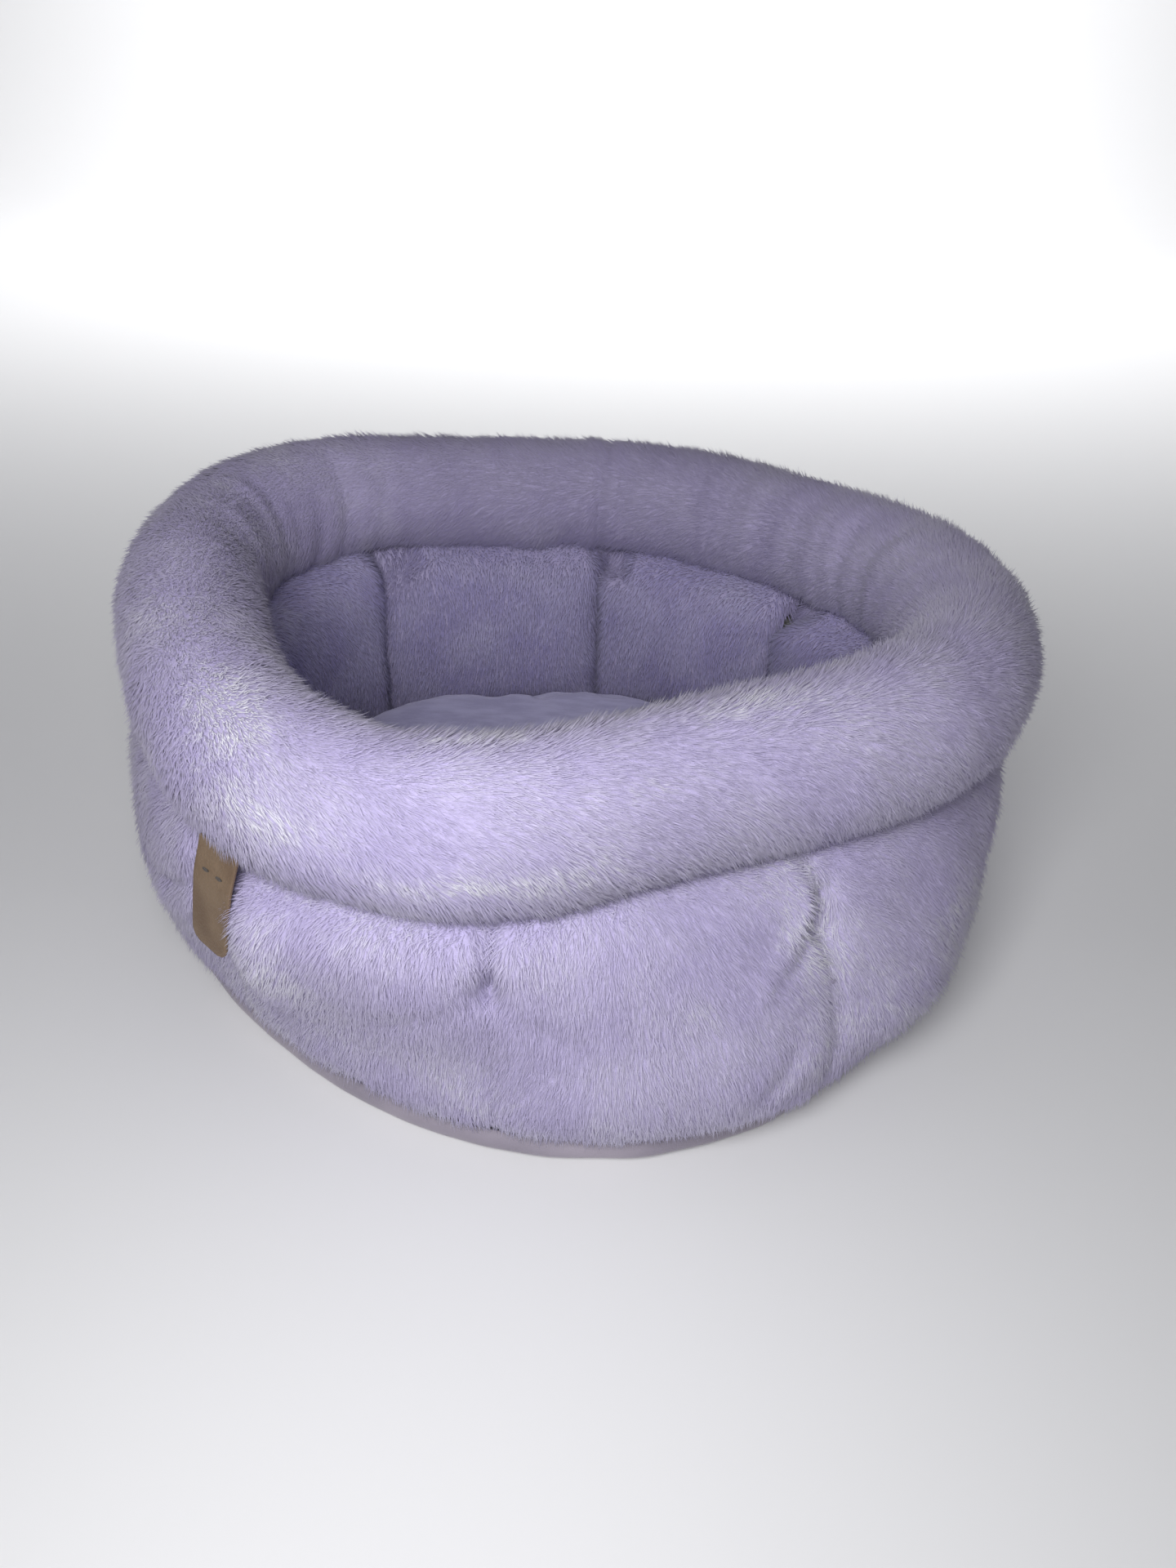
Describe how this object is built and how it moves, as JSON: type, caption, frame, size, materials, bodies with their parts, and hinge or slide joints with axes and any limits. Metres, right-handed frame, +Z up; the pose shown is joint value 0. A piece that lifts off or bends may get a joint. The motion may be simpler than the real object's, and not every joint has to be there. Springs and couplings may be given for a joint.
{
  "type": "pet cushion bed",
  "caption": "Round bolster bed for a small pet: a fat plush rim on a padded plush wall, a smooth base, a loose crowned cushion and a sewn-in tag.",
  "frame": {"origin": "bottom centre of the outline, on the floor that the base lies on", "axes": "+Z up, -Y towards the front, where the tag hangs to the left of the middle"},
  "size_m": [0.4726, 0.4574, 0.2148],
  "materials": {
    "plush": "matte",
    "velour": "matte",
    "base_cloth": "matte",
    "fibre_filling": "matte",
    "wadding": "matte",
    "sewing_thread": "matte",
    "label": "matte",
    "label_thread": "matte"
  },
  "bodies": {
    "bed": {"base_panel": "base_cloth", "base_pad": "wadding", "floor_lining": "base_cloth", "outer_panel_1": "plush", "outer_panel_2": "plush", "outer_panel_3": "plush", "outer_panel_4": "plush", "outer_panel_5": "plush", "outer_panel_6": "plush", "outer_panel_7": "plush", "outer_panel_8": "plush", "inner_panel_1": "plush", "inner_panel_2": "plush", "inner_panel_3": "plush", "inner_panel_4": "plush", "inner_panel_5": "plush", "inner_panel_6": "plush", "inner_panel_7": "plush", "inner_panel_8": "plush", "wall_filling_1": "fibre_filling", "wall_filling_2": "fibre_filling", "wall_filling_3": "fibre_filling", "wall_filling_4": "fibre_filling", "wall_filling_5": "fibre_filling", "wall_filling_6": "fibre_filling", "wall_filling_7": "fibre_filling", "wall_filling_8": "fibre_filling", "seam_tack_1": "sewing_thread", "seam_tack_2": "sewing_thread", "seam_tack_3": "sewing_thread", "seam_tack_4": "sewing_thread", "seam_tack_5": "sewing_thread", "seam_tack_6": "sewing_thread", "seam_tack_7": "sewing_thread", "seam_tack_8": "sewing_thread", "rim_cover": "plush", "rim_filling": "fibre_filling"},
    "cushion": {"cushion_top_cover": "velour", "cushion_bottom_cover": "base_cloth", "cushion_filling": "fibre_filling"},
    "label": {"label_tag": "label", "label_stitch_left": "label_thread", "label_stitch_right": "label_thread"}
  },
  "joints": [
    {"name": "cushion_lift", "type": "slide", "parent": "bed", "child": "cushion", "axis": [0, 0, 1], "range_m": [0, 0.25]},
    {"name": "label_flap", "type": "hinge", "parent": "bed", "child": "label", "pos_m": [-0.14221, -0.18193, 0.14415], "axis": [-0.8013, 0.5983, 0], "range_deg": [0, 75]}
  ]
}
